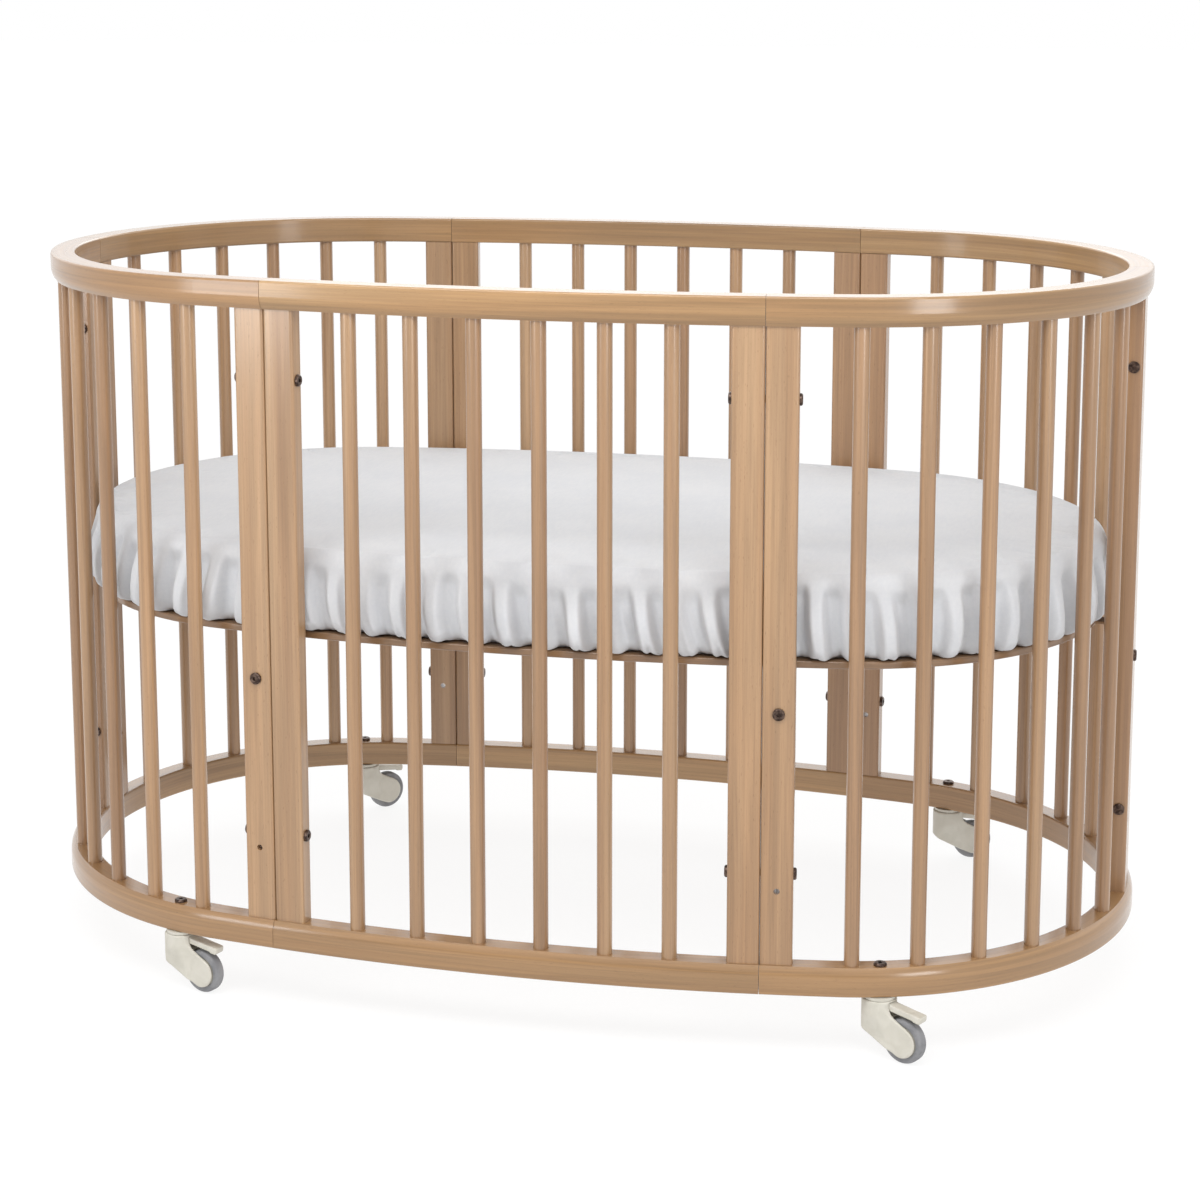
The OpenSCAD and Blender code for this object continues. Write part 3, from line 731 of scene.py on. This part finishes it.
def casters():
    """Smooth moulded housings and brake levers for the four casters."""
    housing = net_mesh("housing", housing_field, low=(-20, -20, 5), high=(52, 20, 67), step=0.8)
    lever = net_mesh("lever", lever_field, low=(7, -9, 44), high=(58, 9, 65), step=0.6)
    for place in PLACES:
        x = CASTER_X * (1 if place.endswith("right") else -1)
        y = CASTER_Y * (1 if place.startswith("rear") else -1)
        turn = Matrix.Rotation(-math.radians(HEADINGS[place]), 4, "Z")
        stand = Matrix.Translation((x, y, 0)) @ turn
        for mesh, part, node, body in ((housing, "housing_shell", "caster_housing", "caster"),
                                       (lever, "lever_shell", "brake_lever", "brake")):
            own = mesh.copy()
            own.transform(stand)
            name = place + "_" + part
            piece = new_piece(name, own, MATERIALS["caster"], body + "_" + place)
            smooth(piece)
            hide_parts(place + "_" + node)


casters()


# ---------------------------------------------------------------- stage


def area_light(name, place, target, size, power):
    """A white soft box of the given width and height, turned towards a target."""
    data = bpy.data.lights.new(name, "AREA")
    data.shape = "RECTANGLE"
    data.size, data.size_y = size
    data.energy = power
    lamp = bpy.data.objects.new(name, data)
    lamp.location = place
    lamp.rotation_euler = (Vector(target) - Vector(place)).to_track_quat("-Z", "Y").to_euler()
    bpy.context.scene.collection.objects.link(lamp)


def studio_world():
    """White all round, with a bright band behind, and dimmer in front and overhead.

    Next to the horizon it stays white on every side, so that low views have no grey backdrop."""
    world = bpy.data.worlds.new("studio")
    world.use_nodes = True
    tree = Tree(world.node_tree)
    x, y, z = tree.separate(tree.node("TexCoord").outputs["Generated"])
    front = tree.spread(y, -0.75, -0.25, 1.0, 0.0)
    low = tree.math("MULTIPLY", tree.spread(z, 0.05, 0.14), tree.spread(z, 0.14, 0.45, 1.0, 0.0))
    dim = tree.math("MULTIPLY", tree.math("MULTIPLY", front, low), 0.85)
    top = tree.spread(z, 0.12, 0.45, 0.0, 0.12)
    behind = tree.spread(y, 0.05, 0.50)
    band = tree.math("MULTIPLY", tree.spread(z, 0.10, 0.18), tree.spread(z, 0.45, 0.75, 1.0, 0.0))
    glow = tree.math("MULTIPLY", tree.math("MULTIPLY", behind, band), 0.6)
    strength = tree.math("SUBTRACT", tree.math("ADD", glow, 1.0), tree.math("MAXIMUM", top, dim))
    tree.feed(world.node_tree.nodes["Background"].inputs["Strength"], strength)
    world.node_tree.nodes["Background"].inputs["Color"].default_value = (1, 1, 1, 1)
    bpy.context.scene.world = world


def stage():
    """Pale floor, soft studio light and the camera."""
    half = 30.0
    corners = [(-half, -half, 0), (half, -half, 0), (half, half, 0), (-half, half, 0)]
    mesh = bpy.data.meshes.new("floor")
    mesh.from_pydata(corners, [], [(0, 1, 2, 3)])
    floor = bpy.data.objects.new("floor", mesh)
    bpy.context.scene.collection.objects.link(floor)
    material, tree, shader, place = start_material("floor_paint")
    mottle = tree.noise(tree.scaled(place, (3, 3, 3)), 2, 0.5)
    grey = tree.mix(mottle, (0.14, 0.14, 0.14, 1), (0.16, 0.16, 0.16, 1))
    tree.feed(shader.inputs["Base Color"], grey)
    shader.inputs["Roughness"].default_value = 0.9
    shader.inputs["Specular IOR Level"].default_value = 0.1
    shader.inputs["Emission Color"].default_value = (1, 1, 1, 1)
    shader.inputs["Emission Strength"].default_value = 0.85
    dress(floor, material)

    studio_world()
    area_light("key", (0.05, -1.20, 1.75), (-0.05, -0.2, 0.45), (2.2, 0.6), 21)
    area_light("back", (-0.2, 2.1, 1.65), (0, 0.2, 0.45), (2.0, 0.6), 7)
    area_light("box_right", (1.89, -1.96, 0.72), (0.43, -0.32, 0.75), (0.6, 0.6), 10)
    area_light("box_left", (-1.70, -2.10, 0.72), (-0.31, -0.35, 0.75), (0.6, 0.6), 8)

    data = bpy.data.cameras.new("camera")
    data.sensor_width = 36
    data.lens = 78.66
    data.shift_y = -0.16
    data.clip_start, data.clip_end = 0.05, 100
    camera = bpy.data.objects.new("camera", data)
    camera.location = (0.73705, -2.92785, 1.14548)
    camera.rotation_euler = (math.radians(90 - 9.80), 0, math.radians(13.906))
    bpy.context.scene.collection.objects.link(camera)
    bpy.context.scene.camera = camera
    bpy.context.scene.view_settings.view_transform = "Standard"


stage()
